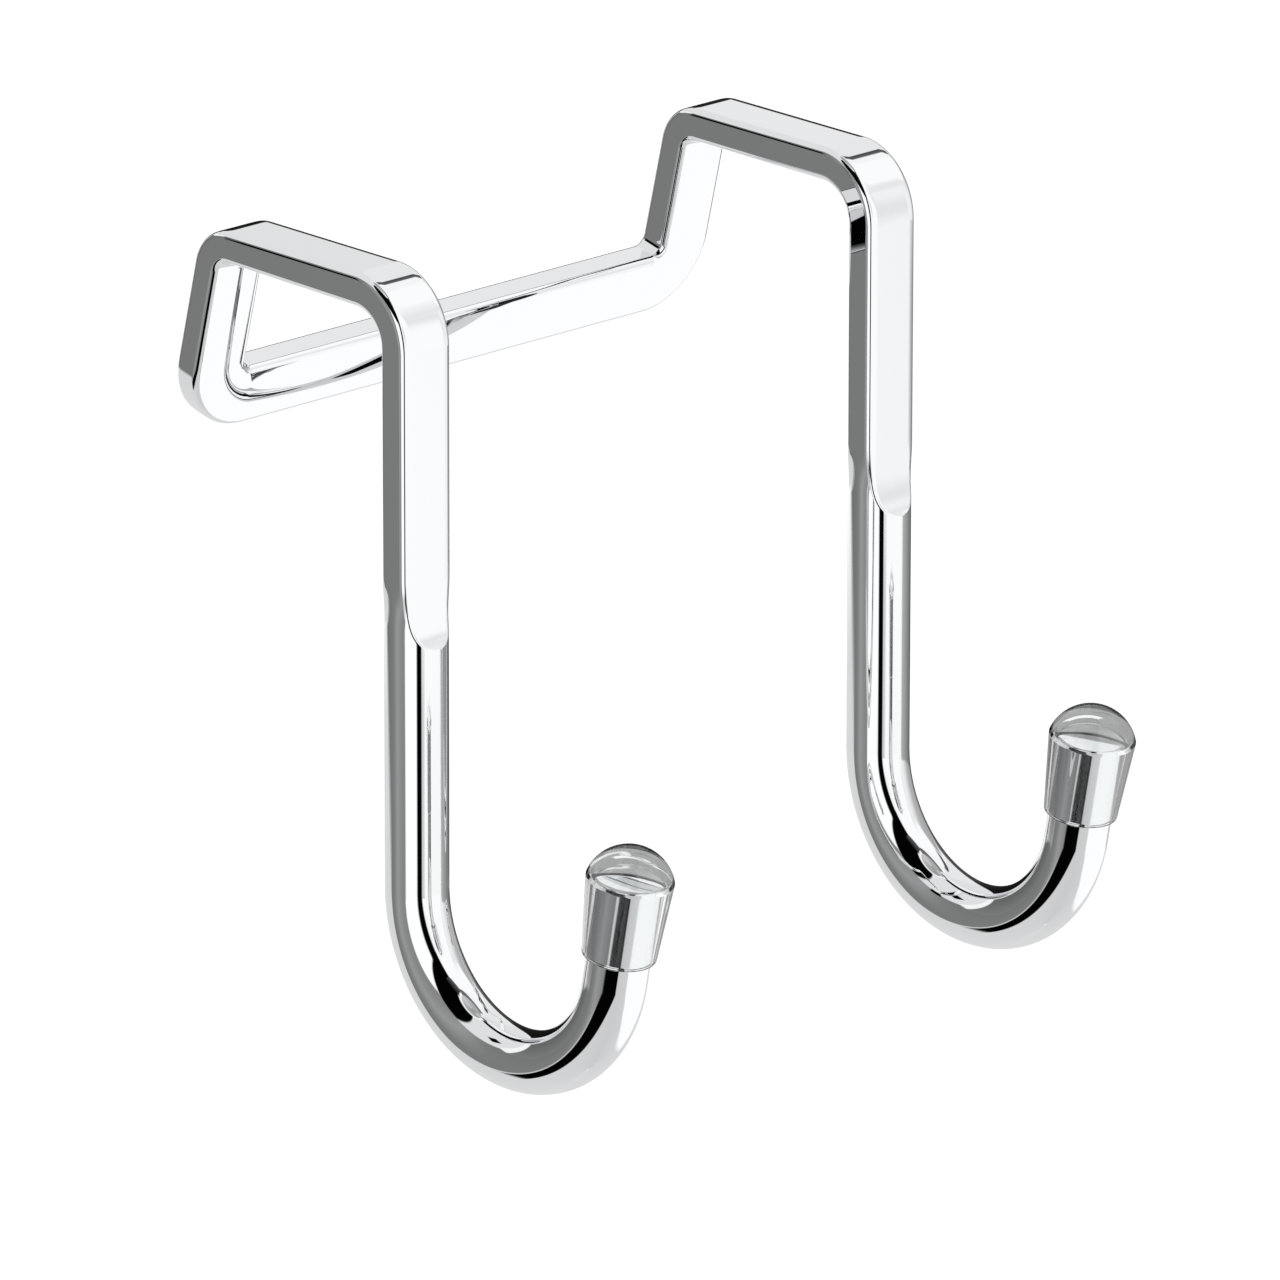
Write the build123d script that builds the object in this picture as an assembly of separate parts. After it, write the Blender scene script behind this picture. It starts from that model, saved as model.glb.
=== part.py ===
from build123d import *

import os
from math import asin, atan2, cos, radians, sin, sqrt, tan

# Over-door double hook. One steel wire is bent into a crossbar behind the
# door, two back legs, two straps over the door's top edge and two front legs
# that end in J hooks. A clear soft cap sits on each hook's tip.
# Frame, in millimetres: +Z up, +X from the left bracket to the right one, -Y
# to the front. The origin is on the underside of the left strap, midway along
# it, where the strap rests on the door's top edge.

# Sizes over all
OVERALL_HEIGHT = 72.9
OVERALL_WIDTH = 65.8  # across the caps, which are the widest places
STRAP_DEPTH = 24.1  # front leg's centre line to the corner of the back leg

# Wire, round stock that is pressed flat down to the middle of the front legs
WIRE_DIAMETER = 5.8
STRIP_WIDTH = 5.9
STRIP_THICKNESS = 3.2
STRIP_EDGE_CHAMFER = 0.35
WIRE_END_CHAMFER = 0.25

# Bends, each by the radius at its inside
FRONT_BEND_INSIDE = 3.4
BACK_BEND_INSIDE = 1.3
CORNER_BEND_INSIDE = 1.0
HOOK_BEND_INSIDE = 10.15
HOOK_TURN = 169.2  # degrees from the leg's downward run to the tip

# Runs between the bends
BACK_LEG_SPLAY = 13.7  # degrees that the back legs stand out from upright
BACK_LEG_LENGTH = 16.3  # strap corner to crossbar centre line
FLAT_DROP = 27.5  # strap's top face to the end of the full flat
RUN_OUT_LENGTH = 6.5  # full flat to full round
DIE_OVERRUN = 1.15  # share of the run-out that the pressing die's arc covers
EDGE_TAPER_LENGTH = 4.5  # the strip's proud edges sink into the round within this
EDGE_TAPER_SINK = 0.2
TIP_LENGTH = 10.2

# Clear cap
CAP_GRIP = 7.6  # length of wire inside the cap
CAP_MOUTH_CLEARANCE = 0.05
CAP_FLOOR_CLEARANCE = 0.3
CAP_END_GAP = 0.05
CAP_MOUTH_WALL = 0.43
CAP_SHOULDER_WALL = 0.8
CAP_DOME_HEIGHT = 2.95
CAP_RIM_CHAMFER = 0.15

# Derived sizes
WIRE_RADIUS = WIRE_DIAMETER / 2
HALF_THICKNESS = STRIP_THICKNESS / 2
CAP_SHOULDER_RADIUS = WIRE_RADIUS + CAP_FLOOR_CLEARANCE + CAP_SHOULDER_WALL
BRACKET_SPACING = OVERALL_WIDTH - 2 * CAP_SHOULDER_RADIUS
FRONT_BEND = FRONT_BEND_INSIDE + HALF_THICKNESS
BACK_BEND = BACK_BEND_INSIDE + HALF_THICKNESS
CORNER_BEND = CORNER_BEND_INSIDE + STRIP_WIDTH / 2
HOOK_BEND = HOOK_BEND_INSIDE + WIRE_RADIUS
BACK_BEND_TURN = 90 - BACK_LEG_SPLAY
BACK_BEND_SETBACK = BACK_BEND * tan(radians(BACK_BEND_TURN / 2))

DOWN = Vector(0, 0, -1)
ACROSS = Vector(1, 0, 0)
FORWARD = Vector(0, -1, 0)
BACKWARD = Vector(0, 1, 0)


def blunt_rectangle(width, thickness):
    """Rectangle with its corners cut, as the flattened wire's edges are broken."""
    return chamfer(Rectangle(width, thickness).vertices(), STRIP_EDGE_CHAMFER)


def strip_section(plane):
    """Flattened wire's section, wide along the plane's x."""
    return plane * blunt_rectangle(STRIP_WIDTH, STRIP_THICKNESS)


def round_section(plane):
    """Round wire's section."""
    return plane * Circle(WIRE_RADIUS)


class Bender:
    """Carries a section along the wire's line and keeps the solids it leaves."""

    def __init__(self, section):
        self.section = section
        self.origin = Vector(0, 0, HALF_THICKNESS)
        self.across = ACROSS
        self.heading = BACKWARD
        self.solids = []

    def plane(self):
        """Plane of the section here, facing along the wire."""
        return Plane(self.origin, x_dir=self.across, z_dir=self.heading)

    def straight(self, length):
        """Straight run of the given length."""
        self.solids.append(extrude(self.section(self.plane()), length, dir=self.heading))
        self.origin += self.heading * length

    def bend(self, radius, angle, towards):
        """Bend of the given centre-line radius, in degrees towards a direction."""
        centre = self.origin + towards * radius
        axis = Axis(centre, self.heading.cross(towards))
        self.solids.append(revolve(self.section(self.plane()), axis, angle))
        self.origin = centre + (self.origin - centre).rotate(axis, angle)
        self.heading = self.heading.rotate(axis, angle)
        self.across = self.across.rotate(axis, angle)


def pressing_die(leg, side):
    """Block that presses one flat into the round leg and curves off it."""
    rise = WIRE_RADIUS - HALF_THICKNESS
    radius = (RUN_OUT_LENGTH**2 + rise**2) / (2 * rise)
    sweep = asin(RUN_OUT_LENGTH / radius) * DIE_OVERRUN
    start, middle, end = (
        (radius * sin(angle), HALF_THICKNESS + radius * (1 - cos(angle)))
        for angle in (0, sweep / 2, sweep)
    )
    top = (0, end[1])
    outline = [
        Edge.make_three_point_arc(start, middle, end),
        Edge.make_line(end, top),
        Edge.make_line(top, start),
    ]
    beside = Plane(leg.origin, x_dir=leg.z_dir, z_dir=leg.x_dir * side)
    return extrude(beside * make_face(outline), WIRE_DIAMETER, both=True)


def edge_taper(leg):
    """Flattened wire's end, whose proud edges sink below the round surface."""
    sunk_radius = WIRE_RADIUS - EDGE_TAPER_SINK
    sunk_width = 2 * sqrt(sunk_radius**2 - HALF_THICKNESS**2)
    sunk_thickness = STRIP_THICKNESS - 2 * EDGE_TAPER_SINK
    sunk = blunt_rectangle(sunk_width, sunk_thickness)
    return loft([strip_section(leg).face(), (leg.offset(EDGE_TAPER_LENGTH) * sunk).face()])


def back_half():
    """Strap's rear half, back leg, corner and half of the crossbar."""
    wire = Bender(strip_section)
    wire.straight(STRAP_DEPTH / 2 - BACK_BEND_SETBACK)
    wire.bend(BACK_BEND, BACK_BEND_TURN, DOWN)
    wire.straight(BACK_LEG_LENGTH - BACK_BEND_SETBACK - CORNER_BEND)
    wire.bend(CORNER_BEND, 90, ACROSS)
    wire.straight(BRACKET_SPACING / 2 - CORNER_BEND)
    return wire


def front_half():
    """Strap's front half, front leg, hook and tip."""
    wire = Bender(strip_section)
    wire.heading = FORWARD
    wire.straight(STRAP_DEPTH / 2 - FRONT_BEND)
    wire.bend(FRONT_BEND, 90, DOWN)
    wire.straight(FLAT_DROP - HALF_THICKNESS - FRONT_BEND)
    flat_end = wire.plane()
    wire.section = round_section
    wire.straight(OVERALL_HEIGHT - WIRE_RADIUS - HOOK_BEND - FLAT_DROP)
    leg = wire.solids.pop()
    for side in (-1, 1):
        leg -= pressing_die(flat_end, side)
    wire.solids += [leg, edge_taper(flat_end)]
    wire.bend(HOOK_BEND, HOOK_TURN, FORWARD)
    wire.straight(TIP_LENGTH)
    return wire


def chamfered_tip(solid, tip):
    """Breaks the sharp edge of the wire's cut end."""
    rim = solid.edges().filter_by(GeomType.CIRCLE).sort_by_distance(tip.origin)[0]
    return chamfer(rim, WIRE_END_CHAMFER)


def tip_cap(tip):
    """Domed clear cap with a blind socket, turned about the tip's line."""
    mouth_bore = WIRE_RADIUS + CAP_MOUTH_CLEARANCE
    floor_bore = WIRE_RADIUS + CAP_FLOOR_CLEARANCE
    mouth = mouth_bore + CAP_MOUTH_WALL
    shoulder = CAP_SHOULDER_RADIUS
    depth = CAP_GRIP + CAP_END_GAP
    apex = depth + CAP_DOME_HEIGHT
    sphere = (shoulder**2 + CAP_DOME_HEIGHT**2) / (2 * CAP_DOME_HEIGHT)
    half_angle = atan2(shoulder, sphere - CAP_DOME_HEIGHT) / 2
    crown = (sphere * sin(half_angle), apex - sphere + sphere * cos(half_angle))
    outline = make_face(
        [
            Edge.make_line((mouth_bore, 0), (mouth, 0)),
            Edge.make_line((mouth, 0), (shoulder, depth)),
            Edge.make_three_point_arc((shoulder, depth), crown, (0, apex)),
            Edge.make_line((0, apex), (0, depth)),
            Edge.make_line((0, depth), (floor_bore, depth)),
            Edge.make_line((floor_bore, depth), (mouth_bore, 0)),
        ]
    )
    rim = outline.vertices().sort_by_distance((mouth, 0))[0]
    outline = chamfer(rim, CAP_RIM_CHAMFER)
    turned = revolve(Plane.XZ * outline, Axis.Z, 360)
    seat = Plane(tip.origin - tip.z_dir * CAP_GRIP, x_dir=tip.x_dir, z_dir=tip.z_dir)
    return turned.moved(seat.location)


back = back_half()
front = front_half()
tip = front.plane()
middle = Plane.YZ.offset(BRACKET_SPACING / 2)

half_wire = Part() + back.solids + front.solids
half_wire = chamfered_tip(half_wire, tip)
cap_left = tip_cap(tip)

nodes = {
    "wire_frame": half_wire + mirror(half_wire, about=middle),
    "tip_cap_left": cap_left,
    "tip_cap_right": mirror(cap_left, about=middle),
}

os.makedirs("parts", exist_ok=True)
for name, shape in nodes.items():
    shape.label = name
    export_step(shape, f"parts/{name}.step")
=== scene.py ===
"""Looks of an over door double hook.

One bright chrome wire, pressed flat where it passes over the door and left round in the J hooks,
carries a clear soft cap on each tip. Lengths are in millimetres until a mesh is made, in metres.
The part's frame is +Z up, +X from the left bracket to the right one, -Y to the front, with the
origin on the underside of the left strap, midway along it.
"""

import logging
from dataclasses import dataclass, field, replace
from enum import Enum
from typing import Any

import bpy
import numpy as np
from bpy.types import Material, Node, NodeSocket, NodeTree, Object
from mathutils import Matrix, Vector


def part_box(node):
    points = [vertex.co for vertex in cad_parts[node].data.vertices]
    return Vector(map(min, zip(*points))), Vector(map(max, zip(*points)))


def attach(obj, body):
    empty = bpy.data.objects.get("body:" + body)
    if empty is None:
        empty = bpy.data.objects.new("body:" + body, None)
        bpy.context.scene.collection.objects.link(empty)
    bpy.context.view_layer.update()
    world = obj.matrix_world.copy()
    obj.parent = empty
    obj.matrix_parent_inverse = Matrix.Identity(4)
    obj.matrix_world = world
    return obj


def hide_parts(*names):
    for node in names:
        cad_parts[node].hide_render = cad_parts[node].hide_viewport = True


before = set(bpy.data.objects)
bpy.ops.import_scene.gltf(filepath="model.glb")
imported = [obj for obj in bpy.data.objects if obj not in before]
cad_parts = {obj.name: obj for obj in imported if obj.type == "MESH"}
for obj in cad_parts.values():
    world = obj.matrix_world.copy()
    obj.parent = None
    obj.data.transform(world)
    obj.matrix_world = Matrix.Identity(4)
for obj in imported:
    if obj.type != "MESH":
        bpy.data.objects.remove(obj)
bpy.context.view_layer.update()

METRES = 0.001
SMALLEST = 1e-9
Array = np.ndarray
Pair = tuple[float, float]
UPWARDS = np.array([0.0, 0.0, 1.0])
ENDS = np.array([0.0, 1.0])

log = logging.getLogger("door_hook")


class Slot(Enum):
    """Material slots of the record that a piece can take its finish from."""

    CHROME = "chrome_plated_steel"
    VINYL = "clear_vinyl"


class Side(Enum):
    """The two brackets, by the CAD node of the cap that each carries."""

    LEFT = "tip_cap_left"
    RIGHT = "tip_cap_right"


def linear(code: str) -> tuple[float, float, float, float]:
    """Turns an sRGB hex colour into linear light.

    Args:
        code: six hex digits after a hash, such as "#8c8c8c".

    Returns:
        Red, green and blue in linear light, and an alpha of 1.
    """
    srgb = np.array([int(code[i : i + 2], 16) for i in (1, 3, 5)]) / 255
    light = np.where(srgb <= 0.04045, srgb / 12.92, ((srgb + 0.055) / 1.055) ** 2.4)
    return (*light.tolist(), 1.0)


def add_node(
    tree: NodeTree,
    kind: str,
    settings: dict[str, Any] | None = None,
    values: dict[str, Any] | None = None,
    links: dict[str | int, NodeSocket] | None = None,
) -> Node:
    """Adds one shader node with its settings and links.

    Args:
        tree: the node tree that takes the node.
        kind: the node's type name.
        settings: attributes of the node itself.
        values: fixed values by input name.
        links: output sockets that feed inputs, by input name or number.

    Returns:
        The new node.
    """
    node = tree.nodes.new(kind)
    for name, value in (settings or {}).items():
        setattr(node, name, value)
    for name, value in (values or {}).items():
        node.inputs[name].default_value = value
    for name, socket in (links or {}).items():
        tree.links.new(socket, node.inputs[name])
    return node


def empty_material(name: str) -> Material:
    """Makes a material with an empty node tree.

    Args:
        name: the material's name.

    Returns:
        The material.
    """
    material = bpy.data.materials.new(name)
    material.use_nodes = True
    material.node_tree.nodes.clear()
    return material


def level_in_view(tree: NodeTree, unseen: float, seen: float) -> NodeSocket:
    """Sets what the eye sees apart from what only lights, also in mirrors and clear pieces.

    Args:
        tree: the node tree of the world or of a material.
        unseen: the level for rays that only light.
        seen: the level for camera, glossy and transmission rays.

    Returns:
        The socket of the level.
    """
    path = add_node(tree, "ShaderNodeLightPath")
    share = path.outputs["Is Camera Ray"]
    adding = {"operation": "ADD", "use_clamp": True}
    for kind in ("Is Glossy Ray", "Is Transmission Ray"):
        terms = {0: share, 1: path.outputs[kind]}
        share = add_node(tree, "ShaderNodeMath", settings=adding, links=terms).outputs["Value"]
    levels = {"To Min": unseen, "To Max": seen}
    return add_node(tree, "ShaderNodeMapRange", values=levels, links={"Value": share}).outputs["Result"]


def wavy_normal(tree: NodeTree, place: NodeSocket, spacing: float, height: float) -> NodeSocket:
    """Gives a finish a slow waviness.

    Args:
        tree: the finish's node tree.
        place: socket of the coordinates that the waves follow.
        spacing: rough distance between crests.
        height: how high they stand.

    Returns:
        The socket of the wavy surface's normals.
    """
    noise = {"Scale": 1 / (spacing * METRES), "Detail": 1.0}
    wave = add_node(tree, "ShaderNodeTexNoise", values=noise, links={"Vector": place})
    relief = {"Strength": 1.0, "Distance": height * METRES}
    surface = add_node(tree, "ShaderNodeBump", values=relief, links={"Height": wave.outputs["Fac"]})
    return surface.outputs["Normal"]


def mirrored(places: Array, spacing: float = 0.0) -> Array:
    """Mirrors points to the other bracket, x to spacing - x, or directions, x to -x."""
    return places * [-1.0, 1.0, 1.0] + [spacing, 0.0, 0.0]


def smooth(share: Array) -> Array:
    """Smooth step: 3t^2 - 2t^3 with t held between 0 and 1."""
    t = np.clip(share, 0, 1)
    return t * t * (3 - 2 * t)


def soft_least(a: Array, b: float, blend: float) -> Array:
    """The lesser of two lengths, rounded off by a parabola where they come within blend.

    Args:
        a: varying length.
        b: fixed length.
        blend: the difference at which the rounding starts.

    Returns:
        min(a, b) - blend / 4 * (1 - |a - b| / blend)^2 where |a - b| < blend.
    """
    near = np.clip(1 - np.abs(a - b) / blend, 0, None)
    return np.minimum(a, b) - blend / 4 * near**2


def make_object(
    name: str, points: Array, normals: Array, faces: list[Array], material: Material
) -> Object:
    """Makes a mesh object at the origin, with its place in its vertices.

    Args:
        name: the object's name.
        points: vertices in millimetres, one row each.
        normals: unit surface normals, one row each.
        faces: arrays of vertex numbers, one row for each face.
        material: the finish of all its faces.

    Returns:
        The object, linked to the scene.
    """
    corners = np.concatenate([block.ravel() for block in faces])
    sizes = np.concatenate([np.full(len(block), block.shape[1]) for block in faces])
    starts = np.concatenate([[0], np.cumsum(sizes)[:-1]])
    mesh = bpy.data.meshes.new(name)
    mesh.vertices.add(len(points))
    mesh.vertices.foreach_set("co", (points * METRES).astype(np.float32).ravel())
    mesh.loops.add(len(corners))
    mesh.loops.foreach_set("vertex_index", corners.astype(np.int32))
    mesh.polygons.add(len(sizes))
    mesh.polygons.foreach_set("loop_start", starts.astype(np.int32))
    mesh.polygons.foreach_set("use_smooth", np.ones(len(sizes), bool))
    mesh.update(calc_edges=True)
    mesh.validate()
    mesh.normals_split_custom_set_from_vertices(normals.astype(np.float32))
    mesh.materials.append(material)
    piece = bpy.data.objects.new(name, mesh)
    bpy.context.scene.collection.objects.link(piece)
    return piece


def grid_faces(rows: int, columns: int, closed: bool = False) -> Array:
    """Quads of a grid of vertices.

    Args:
        rows: rows of the grid.
        columns: vertices of each row.
        closed: whether each row closes on itself.

    Returns:
        Vertex numbers, four for each quad, turning from column to column and then from row to row.
    """
    spans = columns if closed else columns - 1
    row, column = np.meshgrid(np.arange(rows - 1), np.arange(spans), indexing="ij")
    here, beside = row * columns + column, row * columns + (column + 1) % columns
    return np.stack([here, beside, beside + columns, here + columns], -1).reshape(-1, 4)


def open_sheet(name: str, points: Array, normals: Array, material: Material) -> Object:
    """Makes an open sheet of a grid of points and normals, as rows by columns by three."""
    faces = grid_faces(*points.shape[:2])
    return make_object(name, points.reshape(-1, 3), normals.reshape(-1, 3), [faces], material)


def closed_tube(
    name: str, rings: Array, normals: Array, ends: Array, facing: Array, material: Material
) -> Object:
    """Makes a closed piece of rings, with a single pole vertex inside each end ring.

    Args:
        name: the object's name.
        rings: ring points, as rows by columns by three.
        normals: their unit normals, in the same shape.
        ends: the first and the last pole.
        facing: the normals of the two poles.
        material: the finish.

    Returns:
        The object.
    """
    rows, columns = rings.shape[:2]
    points = np.concatenate([rings.reshape(-1, 3), ends])
    directions = np.concatenate([normals.reshape(-1, 3), facing])
    here = np.arange(columns)
    fan = np.stack([here, (here + 1) % columns, np.full(columns, rows * columns)], -1)
    last_ring = (rows - 1) * columns
    near_end, far_end = fan[:, [1, 0, 2]], fan + [last_ring, last_ring, 1]
    faces = [grid_faces(rows, columns, closed=True), near_end, far_end]
    return make_object(name, points, directions, faces, material)


def settle(piece: Object, slot: Slot, *nodes: str) -> None:
    """Lets a piece ride on the one body, in place of CAD nodes.

    Args:
        piece: the finished piece.
        slot: the record's material slot; not used.
        nodes: the CAD nodes that it stands for.
    """
    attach(piece, "root")
    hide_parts(*nodes)


@dataclass(frozen=True)
class BrightChrome:
    """Decorative chrome plated over bright nickel on drawn steel wire.

    The plating copies the polished wire, so the eye sees the room, sharp and hardly tinted, with a
    trace of the drawing and pressing left as a slow waviness and a faint change of gloss.
    """

    reflectance: str = "#f4f5f6"
    gloss_roughness: Pair = (0.0, 0.02)
    haze_size: float = 6.0
    haze_detail: float = 3.0
    haze_breakup: float = 0.6
    haze_levels: Pair = (0.3, 0.7)
    wave_size: float = 9.0
    wave_height: float = 0.0004

    def material(self) -> Material:
        """Makes the plating's material.

        Returns:
            A mirror metal whose surface waves over wave_size and whose roughness drifts over
            haze_size, from the lowest at the first of the noise's two levels to the highest.
        """
        material = empty_material("bright_chrome_plating")
        tree = material.node_tree
        place = add_node(tree, "ShaderNodeTexCoord").outputs["Object"]
        noise = {
            "Scale": 1 / (self.haze_size * METRES),
            "Detail": self.haze_detail,
            "Roughness": self.haze_breakup,
        }
        haze = add_node(tree, "ShaderNodeTexNoise", values=noise, links={"Vector": place})
        limits = zip(("From Min", "From Max", "To Min", "To Max"), self.haze_levels + self.gloss_roughness)
        gloss = add_node(
            tree, "ShaderNodeMapRange", values=dict(limits), links={"Value": haze.outputs["Fac"]}
        )
        chrome = add_node(
            tree,
            "ShaderNodeBsdfPrincipled",
            values={"Base Color": linear(self.reflectance), "Metallic": 1.0},
            links={
                "Roughness": gloss.outputs["Result"],
                "Normal": wavy_normal(tree, place, self.wave_size, self.wave_height),
            },
        )
        add_node(tree, "ShaderNodeOutputMaterial", links={"Surface": chrome.outputs["BSDF"]})
        return material


@dataclass(frozen=True)
class ClearVinyl:
    """Clear plasticised PVC, dip moulded on a polished pin.

    It is soft and glossy and almost without colour: the eye sees the wire's end through it, with
    grey lines where the wall bends the light, and a slow unevenness from the dipping.
    """

    tint: str = "#fbfcfc"
    index: float = 1.53
    gloss_roughness: float = 0.015
    dip_wave: float = 3.5
    dip_depth: float = 0.0015

    def material(self) -> Material:
        """Makes the clear vinyl's material.

        Returns:
            A clear dielectric with a faint waviness of dip_wave between crests.
        """
        material = empty_material("clear_dipped_vinyl")
        tree = material.node_tree
        place = add_node(tree, "ShaderNodeTexCoord").outputs["Object"]
        vinyl = add_node(
            tree,
            "ShaderNodeBsdfPrincipled",
            values={
                "Base Color": linear(self.tint),
                "IOR": self.index,
                "Roughness": self.gloss_roughness,
                "Transmission Weight": 1.0,
            },
            links={"Normal": wavy_normal(tree, place, self.dip_wave, self.dip_depth)},
        )
        add_node(tree, "ShaderNodeOutputMaterial", links={"Surface": vinyl.outputs["BSDF"]})
        return material


@dataclass(frozen=True)
class WireSection:
    """Section of the wire, from the pressed flat to the full round, worked out by quarters.

    A die with a round nose presses two flats into the wire. Past the end of the full flat each flat
    climbs slowly at first and then steeply, until it leaves the round after run_out. Each face falls
    off by one of the steps of 90 degrees, in a narrow shoulder along its edges. The inner face of
    the crossbar and the back legs keeps a slight crown, highest on the side that their corner
    squeezes, which fades out under the straps. The signs across_side and up_side say which quarter
    is worked out, and the outer face is the one of positive distances up. Distances along the wire
    are given for each station.
    """

    radius: float
    half_width: float
    half_thickness: float
    across_side: int = 1
    up_side: int = 1
    edge_radius: float = 0.65
    run_out: float = 6.5
    climb_power: float = 4.4
    climb_limit: float = 1.3
    edge_taper: float = 4.5
    side_opening: float = 1.5
    flat_closing: float = 1.2
    shoulder_lean: float = np.radians(90 / 22)
    shoulder_width: float = 0.45
    shoulder_end: float = 2.0
    crown_radius: float = 16.5
    crown_shift: float = 0.5
    crown_fade: Pair = (-44.0, -30.0)
    crease: float = 0.1
    steps: int = 22
    round_gap: float = np.radians(2.0)
    slope_step: float = 0.001

    def flat_height(self, past: Array) -> Array:
        """Height of the flat over the centre line.

        Args:
            past: distances past the end of the full flat.

        Returns:
            half_thickness + climb (past / run_out)^n, which meets the round after run_out, and the
            round's own radius from there on.
        """
        run = np.clip(past / self.run_out, 0, self.climb_limit) ** self.climb_power
        climb = (self.radius - self.half_thickness) * run
        return soft_least(self.half_thickness + climb, self.radius, self.crease)

    def crowned(self, past: Array) -> Array:
        """Share of the crown in the quarter's face, from 0 to 1.

        Args:
            past: distances past the end of the full flat.

        Returns:
            A column of shares, fading between the two places of crown_fade on the inner face.
        """
        start, end = self.crown_fade
        return ((self.up_side < 0) * (1 - smooth((past - start) / (end - start))))[:, None]

    def fall(self, past: Array) -> tuple[Array, Array]:
        """How the face falls off towards its edge.

        Args:
            past: distances past the end of the full flat.

        Returns:
            The lean at the edge and the arc's radius beyond the edge's own, mixed from those of the
            narrow shoulder and those of the crown. The shoulder flattens out at shoulder_end.
        """
        share = self.crowned(past)
        reach = self.half_width - self.edge_radius - self.across_side * self.crown_shift
        beyond = self.crown_radius - self.edge_radius
        left = (1 - smooth(past / self.shoulder_end))[:, None]
        lean = (1 - share) * self.shoulder_lean * left + share * np.arcsin(reach / beyond)
        run = (1 - share) * self.shoulder_width / np.sin(self.shoulder_lean) + share * beyond
        return lean, run

    def edge_centre(self, past: Array) -> tuple[Array, Array, Array]:
        """Where the edge's arc is centred, and the normal angle at which the side ends.

        Args:
            past: distances past the end of the full flat.

        Returns:
            Distances across and up of the centre, which moves from the strip's edge to the place
            where an arc of edge_radius touches the round from inside, and the side's last angle.
        """
        edge = self.edge_radius
        lean, run = self.fall(past)
        up = (self.flat_height(past) - edge)[:, None]
        on_round = np.sqrt(np.clip((self.radius - edge) ** 2 - up**2, 0, None))
        share = smooth(past / self.edge_taper)[:, None]
        across = (1 - share) * (self.half_width - edge) + share * on_round
        return across, up - run * (1 - np.cos(lean)), share * np.arctan2(up, on_round)

    def angles(self, past: Array) -> Array:
        """Normal angles of the quarter of the outline.

        Args:
            past: distances past the end of the full flat.

        Returns:
            Even steps from 0 to 90 degrees on the strip, where the first is the side's end and the
            last the flat's. On the round they start and stop round_gap short of the quarter's ends,
            so that no two columns of vertices fall together, and on a crown they stop short too.
        """
        side_end = self.edge_centre(past)[2]
        opened = smooth(past / self.side_opening)[:, None]
        closed = smooth((past - self.run_out) / self.flat_closing + 1)[:, None]
        first = side_end * (1 - opened) + self.round_gap * opened
        last = np.pi / 2 - self.round_gap * (closed + self.crowned(past))
        return first + (last - first) * np.linspace(0, 1, self.steps + 1)[None, :]

    def quarter(self, past: Array, angle: Array) -> tuple[Array, Array]:
        """The quarter of the outline, as points of given normal angle.

        Args:
            past: distances past the end of the full flat.
            angle: normal angles, stations by columns.

        Returns:
            Distances across and up. Above the angle where the side ends, a point is on the edge's
            arc: centre + edge_radius (cos, sin). Below it, the point is on the side's arc, which
            grows from a straight side on the strip to the round's own arc. Closer to 90 degrees than
            the lean, it is on the face's falling arc, which is tangent to the edge's.
        """
        edge = self.edge_radius
        centre_across, centre_up, side_end = self.edge_centre(past)
        half_side = centre_up + edge * np.sin(side_end)
        side_across = centre_across + edge * np.cos(side_end)
        side_radius = half_side / np.maximum(np.sin(side_end), SMALLEST)
        on_edge = angle >= side_end
        across = np.where(
            on_edge,
            centre_across + edge * np.cos(angle),
            side_across + side_radius * (np.cos(angle) - np.cos(side_end)),
        )
        up = np.where(on_edge, centre_up + edge * np.sin(angle), side_radius * np.sin(angle))
        lean, run = self.fall(past)
        run = np.where(angle > np.pi / 2 - lean, run, 0)
        return across + run * (np.cos(angle) - np.sin(lean)), up + run * (np.sin(angle) - np.cos(lean))

    def growth(self, past: Array, angle: Array) -> Array:
        """How fast the outline moves outwards along the wire, taken over twice the slope_step.

        Args:
            past: distances past the end of the full flat.
            angle: normal angles, stations by columns.

        Returns:
            Change of the distance along the normal for each millimetre along the wire.
        """
        step = self.slope_step
        before, after = (np.array(self.quarter(past + way, angle)) for way in (-step, step))
        across, up = after - before
        return (across * np.cos(angle) + up * np.sin(angle)) / (2 * step)

    def outline(self, past: Array) -> tuple[Array, ...]:
        """The whole outline, as four quarters that turn counter-clockwise, the outer two first.

        Args:
            past: distances past the end of the full flat.

        Returns:
            Distances across and up, normal angles and growth, each as stations by columns.
        """
        blocks = []
        for side, rise in ((1, 1), (-1, 1), (-1, -1), (1, -1)):
            section = replace(self, across_side=side, up_side=rise)
            angle = section.angles(past)
            across, up = section.quarter(past, angle)
            turned = np.pi * (side < 0) + side * rise * angle
            parts = (side * across, rise * up, turned, section.growth(past, angle))
            blocks.append(tuple(part[:, :: side * rise] for part in parts))
        return tuple(np.concatenate(parts, 1) for parts in zip(*blocks))


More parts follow.
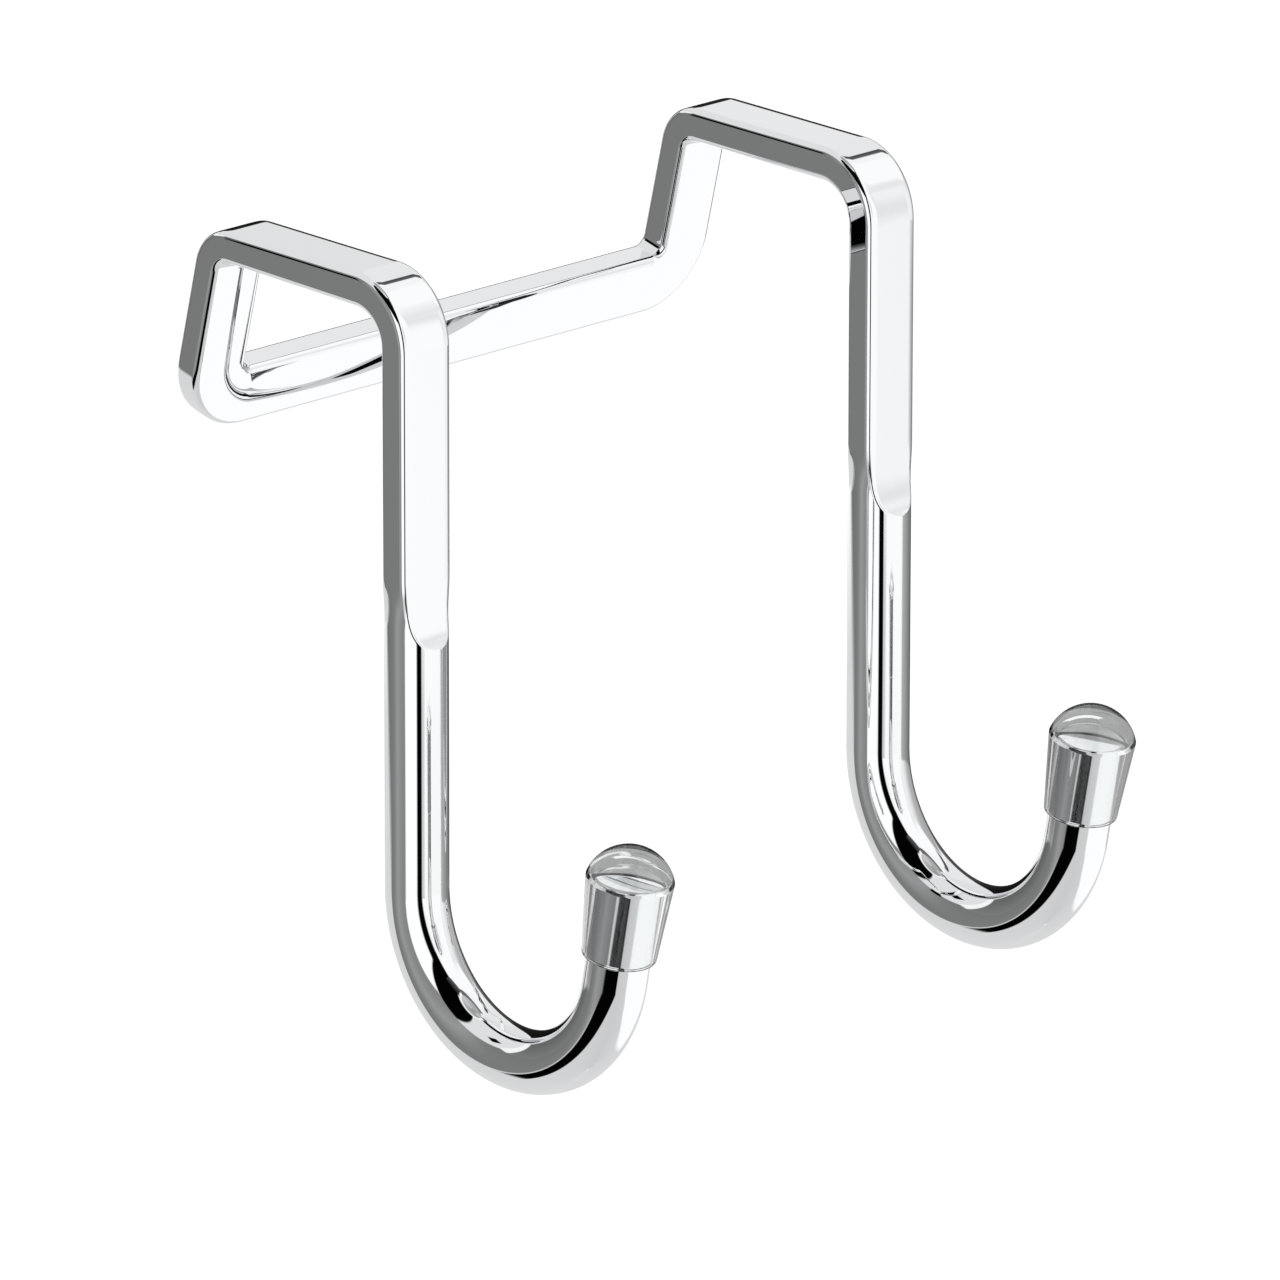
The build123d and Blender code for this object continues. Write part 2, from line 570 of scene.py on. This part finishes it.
@dataclass
class WirePath:
    """Centre line of the wire with a turning frame, built run by run.

    The frame's three directions are across and up in the section, and heading along the wire, with
    across x up = heading.
    """

    place: Array
    across: Array
    up: Array
    heading: Array
    length: float = 0.0
    runs: list[list[Array]] = field(default_factory=list)

    def keep(self, *run: Array) -> None:
        """Adds a run's stations without its first one, and moves on to its last one.

        Args:
            run: its places, its directions across, up and along the wire, and its distances from
                the start of the wire, each with one row for each station.
        """
        first = 1 if self.runs else 0
        self.runs.append([part[first:] for part in run])
        self.place, self.across, self.up, self.heading, self.length = (part[-1] for part in run)

    def straight(self, run: float, shares: Array = ENDS) -> None:
        """Goes straight on.

        Args:
            run: length of the run.
            shares: where its stations are, from 0 to 1.
        """
        still = [np.ones((len(shares), 1)) * way for way in (self.across, self.up, self.heading)]
        self.keep(self.place + shares[:, None] * run * self.heading, *still, self.length + shares * run)

    def bend(self, degrees: float, radius: float, toward: Array, stations: int) -> None:
        """Turns on an arc: place = centre + radius (heading sin a - toward cos a).

        Args:
            degrees: angle of the bend.
            radius: radius of the centre line.
            toward: direction to the centre of the bend.
            stations: number of stations.
        """
        turned = np.linspace(0, np.radians(degrees), stations)[:, None]
        heading = np.cos(turned) * self.heading + np.sin(turned) * toward
        inward = np.cos(turned) * toward - np.sin(turned) * self.heading
        place = self.place + radius * toward - radius * inward
        across, up = (way + (way @ toward) * (inward - toward) for way in (self.across, self.up))
        self.keep(place, across, up, heading, self.length + turned[:, 0] * radius)

    def stations(self) -> tuple[Array, ...]:
        """All stations so far, as arrays of places, across, up, heading and length."""
        return tuple(np.concatenate(parts) for parts in zip(*self.runs))


@dataclass
class WireFrame:
    """The bent wire: crossbar, two back legs, two straps, two front legs and two J hooks."""

    spacing: float
    strip_width: float
    strip_thickness: float
    hook_bottom: float
    wire_diameter: float = 5.8
    strap_depth: float = 24.1
    front_bend_inside: float = 3.4
    back_bend_inside: float = 1.3
    corner_bend_inside: float = 1.0
    hook_bend_inside: float = 10.15
    hook_turn: float = 169.2
    leg_splay: float = 13.7
    back_leg: float = 16.3
    flat_drop: float = 27.5
    tip_length: float = 10.2
    end_radius: float = 0.25
    end_steps: int = 8
    corner_stations: int = 46
    back_stations: int = 40
    front_stations: int = 46
    run_out_stations: int = 60
    settling: float = 0.6
    settling_stations: int = 9
    hook_stations: int = 96
    finish: BrightChrome = BrightChrome()

    @classmethod
    def from_frame(cls) -> "WireFrame":
        """Takes the overall sizes from the CAD node of the wire.

        Returns:
            The wire, in millimetres: the strip's width stands out from the left bracket's plane on
            one side and its thickness over the strap's underside.
        """
        low, high = (np.array(corner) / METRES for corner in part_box("wire_frame"))
        spacing, width = high[0] + low[0], -2 * low[0]
        return cls(spacing, width, strip_thickness=high[2], hook_bottom=low[2])

    @property
    def wire_radius(self) -> float:
        """Radius of the round wire."""
        return self.wire_diameter / 2

    @property
    def section(self) -> WireSection:
        """The section's shape along the wire."""
        return WireSection(self.wire_radius, self.strip_width / 2, self.strip_thickness / 2)

    def path(self) -> tuple[WirePath, float]:
        """Goes along the left half of the wire, from the crossbar's middle to the left tip.

        Returns:
            The path, with its stations close together where the wire bends or changes section, and
            its length up to the end of the full flat. The section settles just beyond the run-out.
        """
        splay = np.radians(self.leg_splay)
        half_thickness = self.strip_thickness / 2
        corner = self.corner_bend_inside + self.strip_width / 2
        back_bend = self.back_bend_inside + half_thickness
        front_bend = self.front_bend_inside + half_thickness
        hook_bend = self.hook_bend_inside + self.wire_radius
        setback = back_bend * np.tan((np.pi / 2 - splay) / 2)
        up_the_leg = np.array([0.0, -np.sin(splay), np.cos(splay)])
        strap_corner = np.array([0.0, self.strap_depth / 2, half_thickness])
        middle = strap_corner - self.back_leg * up_the_leg + [self.spacing / 2, 0, 0]
        outwards = np.array([0.0, np.cos(splay), np.sin(splay)])
        line = WirePath(middle, up_the_leg, outwards, np.array([-1.0, 0.0, 0.0]))
        line.straight(self.spacing / 2 - corner)
        line.bend(90, corner, up_the_leg, self.corner_stations)
        line.straight(self.back_leg - corner - setback)
        line.bend(90 - self.leg_splay, back_bend, -outwards, self.back_stations)
        line.straight(self.strap_depth - setback - front_bend)
        line.bend(90, front_bend, -line.up, self.front_stations)
        line.straight(self.flat_drop - half_thickness - front_bend)
        flat_end = line.length
        line.straight(self.section.run_out, 1 - np.linspace(1, 0, self.run_out_stations) ** 2)
        line.straight(self.settling, np.linspace(0, 1, self.settling_stations))
        line.straight(line.place[2] - (self.hook_bottom + self.wire_radius + hook_bend))
        line.bend(self.hook_turn, hook_bend, line.up, self.hook_stations)
        line.straight(self.tip_length - self.end_radius)
        return line, flat_end

    def half(self) -> tuple[Array, Array, Array, Array]:
        """Surface of the left half, from the mirror plane to the tip.

        Returns:
            Rings and their normals, as stations by columns by three, then the tip's middle point
            and its direction. A ring's point is place + across x + up y, and its normal is
            across cos + up sin - heading growth. The last rings go round the end's edge.
        """
        line, flat_end = self.path()
        place, across, up, heading, length = line.stations()
        outline = self.section.outline(length - flat_end)
        x, y, turned, growth = (part[..., None] for part in outline)
        rings = place[:, None] + x * across[:, None] + y * up[:, None]
        sideways = np.cos(turned) * across[:, None] + np.sin(turned) * up[:, None]
        normals = sideways - growth * heading[:, None]
        lean = np.linspace(0, np.pi / 2, self.end_steps)[1:, None, None]
        edge_normals = np.cos(lean) * sideways[-1] + np.sin(lean) * heading[-1]
        edge = rings[-1] + self.end_radius * (edge_normals - sideways[-1])
        rings = np.concatenate([rings, edge])
        normals = np.concatenate([normals, edge_normals])
        normals /= np.linalg.norm(normals, axis=-1, keepdims=True)
        return rings, normals, place[-1] + self.end_radius * heading[-1], heading[-1]

    def tip(self) -> tuple[Array, Array]:
        """The left tip's end point and the direction that it points in."""
        return self.half()[2:]

    def build(self) -> Object:
        """Builds the wire in one piece, from the right tip over the crossbar to the left tip.

        Returns:
            The wire. The right half is the left one mirrored at half the spacing and run through
            backwards, so both halves turn the same way round and share the ring on the plane.
        """
        rings, normals, end, heading = self.half()
        both = np.concatenate([mirrored(rings, self.spacing)[:0:-1], rings])
        both_normals = np.concatenate([mirrored(normals)[:0:-1], normals])
        ends = np.stack([mirrored(end, self.spacing), end])
        facing = np.stack([mirrored(heading), heading])
        piece = closed_tube("chrome_wire", both, both_normals, ends, facing, self.finish.material())
        settle(piece, Slot.CHROME, "wire_frame")
        return piece


@dataclass
class TipCap:
    """Clear cap pushed over the wire's tip: a tapered sleeve with a domed closed end.

    The dome is a shell over a shallow domed hollow, so the wire's flat end shows through it.
    """

    end: Array
    heading: Array
    wire_radius: float
    spacing: float
    grip: float = 7.6
    mouth_clearance: float = 0.05
    floor_clearance: float = 0.3
    end_gap: float = 0.05
    mouth_wall: float = 0.43
    shoulder_wall: float = 0.798
    dome_height: float = 2.95
    hollow_height: float = 1.45
    rim_round: float = 0.12
    floor_round: float = 0.25
    shoulder_round: float = 0.3
    columns: int = 128
    hollow_steps: int = 30
    corner_steps: tuple[int, int, int, int] = (7, 7, 7, 9)
    dome_steps: int = 34
    finish: ClearVinyl = ClearVinyl()

    def corners(self) -> tuple[Array, Array]:
        """Corners of the cap's half section, with the rounding of each.

        Returns:
            Rows of radius and distance from the mouth, from the socket's floor out and round to the
            dome's foot, and the rounding radius at each.
        """
        depth = self.grip + self.end_gap
        bore, floor = self.wire_radius + self.mouth_clearance, self.wire_radius + self.floor_clearance
        mouth, shoulder = bore + self.mouth_wall, floor + self.shoulder_wall
        rounding = [self.floor_round, self.rim_round, self.rim_round, self.shoulder_round]
        return np.array([(floor, depth), (bore, 0), (mouth, 0), (shoulder, depth)]), np.array(rounding)

    @staticmethod
    def rounded(
        before: Array, corner: Array, after: Array, radius: float, steps: int
    ) -> tuple[Array, Array]:
        """Arc of a radius that is tangent to both lines that meet at a corner.

        Args:
            before: point on the line that arrives.
            corner: the corner.
            after: point on the line that leaves.
            radius: radius of the arc.
            steps: number of points.

        Returns:
            Points of the arc and unit normals that point to the left of the way it is run through,
            which turn evenly from one line's normal to the other's.
        """
        arriving = (corner - before) / np.linalg.norm(corner - before)
        leaving = (after - corner) / np.linalg.norm(after - corner)
        left = np.array([[0.0, -1.0], [1.0, 0.0]])
        turn = np.arctan2(arriving[0] * leaving[1] - arriving[1] * leaving[0], arriving @ leaving)
        setback = radius * abs(np.tan(turn / 2))
        share = np.linspace(0, 1, steps)[:, None]
        first = left @ arriving
        angle = share * turn
        normals = np.cos(angle) * first + np.sin(angle) * (left @ first)
        side = np.sign(turn)
        centre = corner - setback * arriving + side * radius * first
        return centre - side * radius * normals, normals

    @staticmethod
    def sphere(rim: Array, height: float) -> tuple[float, float, float]:
        """Sphere through a rim and a top that lies a height above it.

        Args:
            rim: radius of the rim and its distance from the mouth.
            height: height of the top over the rim.

        Returns:
            Radius (r^2 + h^2) / 2h, distance of the centre from the mouth, and the angle at the
            centre between the top and the rim.
        """
        radius = (rim[0] ** 2 + height**2) / (2 * height)
        return radius, rim[1] + height - radius, np.arcsin(rim[0] / radius)

    @staticmethod
    def arch(radius: float, centre: float, rise: Array) -> tuple[Array, Array]:
        """Part of a sphere's section, as points and normals that point away from its centre.

        Args:
            radius: radius of the sphere.
            centre: distance of its centre from the mouth.
            rise: angles from the sphere's top.

        Returns:
            Points radius (sin, cos) over the centre, and unit normals (sin, cos).
        """
        spokes = np.stack([np.sin(rise), np.cos(rise)], 1)
        return radius * spokes + [0, centre], spokes

    def profile(self) -> tuple[Array, Array]:
        """Half section of the cap, from the hollow's top round the rim to the dome's top.

        Returns:
            Points as radius and distance from the mouth, and unit normals out of the plastic. The
            hollow and the dome are parts of spheres, rounded where they meet the sleeve.
        """
        corners, rounding = self.corners()
        inner, inner_centre, inner_foot = self.sphere(corners[0], self.hollow_height)
        outer, outer_centre, outer_foot = self.sphere(corners[-1], self.dome_height)
        arriving = corners[0] + [-np.cos(inner_foot), np.sin(inner_foot)]
        leaving = corners[-1] + [-np.cos(outer_foot), np.sin(outer_foot)]
        line = np.vstack([arriving, corners, leaving])
        start = inner_foot - self.floor_round * np.tan((np.pi / 2 - inner_foot) / 2) / inner
        end = outer_foot - self.shoulder_round * np.tan(outer_foot / 2) / outer
        hollow, into_plastic = self.arch(inner, inner_centre, np.linspace(0, start, self.hollow_steps)[1:-1])
        dome, outwards = self.arch(outer, outer_centre, np.linspace(end, 0, self.dome_steps)[1:-1])
        arcs = [
            self.rounded(*line[i : i + 3], radius, steps)
            for i, (radius, steps) in enumerate(zip(rounding, self.corner_steps))
        ]
        points = [hollow, *(arc for arc, _ in arcs), dome]
        normals = [-into_plastic, *(-left for _, left in arcs), outwards]
        return np.concatenate(points), np.concatenate(normals)

    def build(self, side: Side) -> Object:
        """Turns the half section about the tip's axis.

        Args:
            side: which bracket's cap is made.

        Returns:
            The cap: point = mouth + heading z + radius (across cos a + up sin a).
        """
        profile, facing = self.profile()
        mouth = self.end - self.grip * self.heading
        across = np.array([1.0, 0.0, 0.0])
        up = np.cross(self.heading, across)
        turn = np.linspace(0, 2 * np.pi, self.columns, endpoint=False)[None, :, None]
        spoke = np.cos(turn) * across + np.sin(turn) * up
        radius, height = profile.T[..., None, None]
        outward, upward = facing.T[..., None, None]
        rings = mouth + height * self.heading + radius * spoke
        normals = upward * self.heading + outward * spoke
        tops = self.grip + self.end_gap + np.array([[self.hollow_height], [self.dome_height]])
        ends = mouth + tops * self.heading
        poles = np.stack([-self.heading, self.heading])
        if side is Side.RIGHT:
            rings, normals = mirrored(rings, self.spacing)[:, ::-1], mirrored(normals)[:, ::-1]
            ends, poles = mirrored(ends, self.spacing), mirrored(poles)
        name = f"clear_cap_{side.name.lower()}"
        piece = closed_tube(name, rings, normals, ends, poles, self.finish.material())
        settle(piece, Slot.VINYL, side.value)
        return piece


class Audience(Enum):
    """What shows a card: mirror-like surfaces, clear pieces, or both."""

    BOTH = (True, True)
    MIRRORS = (True, False)
    CLEAR = (False, True)


@dataclass(frozen=True)
class Card:
    """A card or soft panel of the studio, as a patch of a sphere round the hook.

    Its lower and its upper edge run from a first to a last corner. Their numbers are the azimuth and
    elevation of the one and then of the other, in degrees, where azimuth counts from the camera's
    side towards the picture's left. Bows raise the middles of the two edges. Shades are sRGB hex,
    evenly spaced from the first side to the last. Feathers are the shares of the breadth and height
    over which the card fades out. A card with a place of its own hangs close to it, at distance near.
    """

    name: str
    lower: tuple[float, float, float, float]
    upper: tuple[float, float, float, float]
    shades: tuple[str, ...]
    bows: Pair = (0.0, 0.0)
    feathers: Pair = (0.05, 0.05)
    strength: float = 1.0
    audience: Audience = Audience.BOTH
    place: tuple[float, float, float] | None = None
    near: float = 60.0
    rows: int = 49
    columns: int = 97

    def directions(self, breadth: Array, height: Array) -> tuple[Array, Array]:
        """Azimuth and elevation over the card.

        Args:
            breadth: shares of the breadth, as a row.
            height: shares of the height, as a column.

        Returns:
            Both in radians. Each edge is a straight run between its corners, raised by its bow
            times 4u(1 - u), and the card is a straight run from the lower edge to the upper one.
        """
        edges = []
        for (turn, lift, last_turn, last_lift), bow in zip((self.lower, self.upper), self.bows):
            azimuth = turn + breadth * (last_turn - turn)
            rise = lift + breadth * (last_lift - lift) + bow * 4 * breadth * (1 - breadth)
            edges.append((azimuth, rise))
        (low_azimuth, low_rise), (high_azimuth, high_rise) = edges
        azimuth = low_azimuth + height * (high_azimuth - low_azimuth)
        rise = low_rise + height * (high_rise - low_rise)
        return np.radians(azimuth), np.radians(np.clip(rise, -90, 90))

    def glow(self, breadth: Array, height: Array) -> Array:
        """Light and cover at each point of the card.

        Args:
            breadth: shares of the breadth, as a row.
            height: shares of the height, as a column.

        Returns:
            Linear red, green and blue, and the cover, which falls smoothly to none at the edges.
        """
        stops = np.linspace(0, 1, len(self.shades))
        levels = np.array([linear(shade) for shade in self.shades])
        colour = np.stack([np.interp(breadth, stops, levels[:, i]) for i in range(3)], -1)
        cover = np.ones(np.broadcast_shapes(breadth.shape, height.shape))
        for share, feather in zip((breadth, height), self.feathers):
            if feather:
                cover = cover * smooth(np.minimum(share, 1 - share) / feather)
        return np.concatenate([np.broadcast_to(colour, (*cover.shape, 3)), cover[..., None]], -1)

    def build(self, centre: Array, radius: float, toward_camera: Array, leftward: Array) -> Object:
        """Builds the card, seen only in reflections and through clear pieces.

        Args:
            centre: the studio's middle, in millimetres, unless the card has a place of its own.
            radius: how far off the card hangs from there.
            toward_camera: level direction to the camera.
            leftward: level direction to the picture's left.

        Returns:
            The card: point = centre + radius (level direction cos e + up sin e).
        """
        breadth = np.linspace(0, 1, self.columns)[None, :]
        height = np.linspace(0, 1, self.rows)[:, None]
        azimuth, rise = (angle[..., None] for angle in self.directions(breadth, height))
        if self.place is not None:
            centre, radius = np.array(self.place), self.near
        level = np.cos(azimuth) * toward_camera + np.sin(azimuth) * leftward
        outward = np.cos(rise) * level + np.sin(rise) * UPWARDS
        piece = open_sheet(self.name, centre + radius * outward, -outward, self.material())
        paint = piece.data.attributes.new("glow", "FLOAT_COLOR", "POINT")
        paint.data.foreach_set("color", self.glow(breadth, height).astype(np.float32).ravel())
        piece.visible_camera = piece.visible_diffuse = False
        piece.visible_shadow = piece.visible_volume_scatter = False
        piece.visible_glossy, piece.visible_transmission = self.audience.value
        return piece

    def material(self) -> Material:
        """Makes the card's light, which fades out where the painted cover does.

        Returns:
            An emission material mixed with clear air by the card's own paint.
        """
        material = empty_material(self.name)
        tree = material.node_tree
        paint = add_node(tree, "ShaderNodeAttribute", settings={"attribute_name": "glow"})
        colour = {"Color": paint.outputs["Color"]}
        light = add_node(tree, "ShaderNodeEmission", values={"Strength": self.strength}, links=colour)
        air = add_node(tree, "ShaderNodeBsdfTransparent")
        sources = {"Fac": paint.outputs["Alpha"], 1: air.outputs["BSDF"], 2: light.outputs["Emission"]}
        card = add_node(tree, "ShaderNodeMixShader", links=sources)
        add_node(tree, "ShaderNodeOutputMaterial", links={"Surface": card.outputs["Shader"]})
        return material


@dataclass
class Studio:
    """White surround, pale floor far below the hanging hook, cards, one soft lamp and the camera.

    The lamp's place is so far towards the camera, to the picture's right and up. The cards hang one
    inside the other in the order of the list, so the later ones are in front.
    """

    azimuth: float = 43.547
    elevation: float = 18.07
    roll: float = 0.09
    distance: float = 1430.1
    focus: tuple[float, float, float] = (20.01, -19.97, -33.16)
    lens: float = 447.87
    sensor: float = 36.0
    clip: Pair = (50.0, 200000.0)
    floor_drop: float = 1100.0
    floor_half: float = 40000.0
    floor_steps: int = 9
    floor_shade: str = "#e6e6e6"
    floor_glow: float = 0.45
    surround: str = "#ffffff"
    lamp_share: float = 0.25
    lamp_place: tuple[float, float, float] = (1200.0, -1000.0, 1800.0)
    lamp_breadth: float = 1600.0
    lamp_power: float = 14.0
    card_radius: float = 1000.0
    card_step: float = 8.0
    cards: tuple[Card, ...] = (
        Card("pale_floor_card", (181, -90, -181, -90), (181, -17, -181, -17),
             ("#e2e2e2", "#dcdcdc", "#d2d2d2", "#dadada", "#e0e0e0"), feathers=(0, 0.02)),
        Card("floor_light", (-45, -51, -142, -50), (-20, -17, -150, -17), ("#ffffff",), bows=(-16, 0),
             feathers=(0.06, 0.12), strength=1.08),
        Card("pale_back_left", (183, 14, 56, 32), (183, 74, 80, 74), ("#e8e8e8",), feathers=(0.03, 0.03)),
        Card("pale_back_right", (-147, 14, -183, 14), (-152, 60, -183, 72), ("#f0f0f0",),
             feathers=(0.08, 0.03)),
        Card("black_top", (62, 26, -27, 27), (80, 74, -40, 72), ("#030303",), feathers=(0.04, 0.06)),
        Card("black_top_wing", (-10, 50, -34, 54), (-10, 74, -70, 73), ("#030303", "#606060"),
             feathers=(0.12, 0.1)),
        Card("dim_top_band", (-50, 68, -181, 70), (-50, 76, -181, 77), ("#666666", "#808080")),
        Card("grey_top", (181, 75, -181, 75), (181, 90, -181, 90),
             ("#acacac", "#a0a0a0", "#b0b0b0", "#d0d0d0", "#b8b8b8", "#acacac"), feathers=(0, 0.1)),
        Card("black_strip", (13, -30, -17, -30), (0, 34, -28, 34), ("#030303",), feathers=(0.14, 0.02)),
        Card("dim_side_card", (142, -17, 90, -21.5), (142, 18, 90, 17), ("#606060", "#727272", "#868686"),
             feathers=(0.06, 0.04)),
        Card("grey_side_card", (104, -30, 40, -30), (100, 25, 40, 27),
             ("#787878", "#818181", "#9c9c9c", "#8e8e8e", "#868686"), bows=(0, 7), feathers=(0.05, 0.04)),
        Card("black_low_card", (98, -43, -6, -33), (98, -31, -6, -22), ("#030303",), bows=(-10, 0),
             feathers=(0.03, 0.08)),
        Card("white_window", (43, -25, -2, -24), (43, 28, -6, 30), ("#ffffff",), feathers=(0.12, 0.08),
             strength=1.1),
        Card("white_side_window", (-25, -24, -112, -24), (-33, 54, -140, 52), ("#ffffff",), bows=(0, 15),
             feathers=(0.05, 0.06), strength=1.06),
        Card("back_frame_line", (-132, 32, -144, 32), (-156, 58, -168, 58), ("#707070", "#303030"),
             feathers=(0.2, 0.1)),
        Card("soft_bend_tint", (-84, -22, -101, -22), (-84, 50, -103, 50), ("#e6e6e6",),
             feathers=(0.25, 0.4)),
        Card("soft_grey_glow", (-38, 0, -62, 0), (-38, 36, -62, 36), ("#cccccc",), feathers=(0.5, 0.4)),
        Card("grey_right_card", (-86, -22, -148, -22), (-86, 32, -148, 34),
             ("#ffffff", "#fafafa", "#eeeeee", "#e0e0e0", "#c5c5c5", "#b4b4b4", "#b5b5b5", "#a8a8a8",
              "#989898"), feathers=(0.1, 0.12)),
        Card("dim_low_right", (-92, -26, -150, -26), (-92, -13, -150, -13),
             ("#bcbcbc", "#a4a4a4", "#8a8a8a", "#707070"), feathers=(0.12, 0.15)),
        Card("dim_back_right", (-142, -22, -188, -22), (-146, 16, -188, 16),
             ("#8a8a8a", "#4c4c4c", "#404040", "#404040")),
        Card("black_back_left", (188, -14, 147, -14), (188, 17, 147, 18),
             ("#303030", "#1a1a1a", "#141414", "#141414"), feathers=(0.08, 0.05)),
        Card("grey_cap_card", (-138, 11, -218, 11), (-138, 58, -218, 58), ("#a2a2a2",),
             feathers=(0.1, 0.05), audience=Audience.CLEAR),
        Card("white_cap_card", (-163, 30, -182, 30), (-163, 37, -182, 37), ("#ffffff",),
             feathers=(0.1, 0.1), audience=Audience.CLEAR),
        *(Card(f"{side}_strap_card", (101, -8, 81, -8), (101, 12, 81, 12), ("#050505",),
               feathers=(0.2, 0.05), audience=Audience.MIRRORS, place=(x, 0.0, 2.7))
          for side, x in (("left", -2.9), ("right", 54.9))),
    )

    def level(self, turn: float) -> Array:
        """Level direction, so many degrees from the camera's side towards the picture's left."""
        angle = np.radians(self.azimuth + turn)
        return np.array([-np.sin(angle), -np.cos(angle), 0.0])

    def build_world(self) -> None:
        """Makes the white surround, full white to the eye and in reflections, softer as a lamp."""
        world = bpy.data.worlds.new("white_surround")
        world.use_nodes = True
        tree = world.node_tree
        tree.nodes.clear()
        light = add_node(
            tree,
            "ShaderNodeBackground",
            values={"Color": linear(self.surround)},
            links={"Strength": level_in_view(tree, 1.0 - self.lamp_share, 1.0)},
        )
        add_node(tree, "ShaderNodeOutputWorld", links={"Surface": light.outputs["Background"]})
        bpy.context.scene.world = world

    def build_floor(self) -> Object:
        """Lays the pale floor, so far down that the hook's shadow on it is soft and out of view.

        Returns:
            The floor, a level square: point = (x, y, -floor_drop) over two even parameters.
        """
        reach = np.linspace(-self.floor_half, self.floor_half, self.floor_steps)
        x, y = np.meshgrid(reach, reach)
        points = np.stack([x, y, np.full_like(x, -self.floor_drop)], -1)
        material = empty_material("pale_painted_floor")
        tree = material.node_tree
        paint = add_node(tree, "ShaderNodeBsdfDiffuse", values={"Color": linear(self.floor_shade)})
        lift = level_in_view(tree, 0.0, self.floor_glow)
        glow = add_node(tree, "ShaderNodeEmission", links={"Strength": lift})
        sources = {0: paint.outputs["BSDF"], 1: glow.outputs["Emission"]}
        both = add_node(tree, "ShaderNodeAddShader", links=sources)
        add_node(tree, "ShaderNodeOutputMaterial", links={"Surface": both.outputs["Shader"]})
        floor = open_sheet("pale_floor", points, np.broadcast_to(UPWARDS, points.shape), material)
        return floor

    def build_lamp(self) -> None:
        """Hangs one large soft lamp high on the camera's left, which reflections don't show."""
        lamp = bpy.data.lights.new("soft_lamp", "AREA")
        lamp.shape, lamp.size, lamp.energy = "DISK", self.lamp_breadth * METRES, self.lamp_power
        holder = bpy.data.objects.new("soft_lamp", lamp)
        forward, right, up = self.lamp_place
        where = forward * self.level(0) + right * self.level(-90) + up * UPWARDS
        holder.location = Vector(where * METRES)
        holder.rotation_euler = (-holder.location).to_track_quat("-Z", "Y").to_euler()
        holder.visible_glossy = holder.visible_transmission = False
        bpy.context.scene.collection.objects.link(holder)

    def build_camera(self) -> None:
        """Sets the camera up at the fitted view, aimed at the middle of the picture."""
        rise, tilt = np.radians(self.elevation), np.radians(self.roll)
        back = np.cos(rise) * self.level(0) + np.sin(rise) * UPWARDS
        level_right = self.level(-90)
        right = np.cos(tilt) * level_right + np.sin(tilt) * np.cross(back, level_right)
        up = np.cross(back, right)
        where = (np.array(self.focus) + self.distance * back) * METRES
        data = bpy.data.cameras.new("camera")
        data.sensor_width, data.lens = self.sensor, self.lens
        data.clip_start, data.clip_end = (limit * METRES for limit in self.clip)
        camera = bpy.data.objects.new("camera", data)
        camera.matrix_world = Matrix(np.stack([right, up, back], 1).tolist()).to_4x4()
        camera.matrix_world.translation = Vector(where)
        bpy.context.scene.collection.objects.link(camera)
        bpy.context.scene.camera = camera

    def build(self) -> None:
        """Builds all of the studio round the middle of the picture."""
        self.build_world()
        self.build_floor()
        self.build_lamp()
        for order, card in enumerate(self.cards):
            radius = self.card_radius - order * self.card_step
            card.build(np.array(self.focus), radius, self.level(0), self.level(90))
        self.build_camera()
        bpy.context.scene.view_settings.view_transform = "Standard"


def main() -> None:
    """Builds the wire, its two caps and the studio in order, and reports each."""
    logging.basicConfig(level=logging.INFO, format="%(message)s")
    wire = WireFrame.from_frame()
    log.info("built %s", wire.build().name)
    end, heading = wire.tip()
    for side in Side:
        cap = TipCap(end, heading, wire.wire_radius, wire.spacing)
        log.info("built %s", cap.build(side).name)
    Studio().build()
    log.info("built studio")


if __name__ == "__main__":
    main()
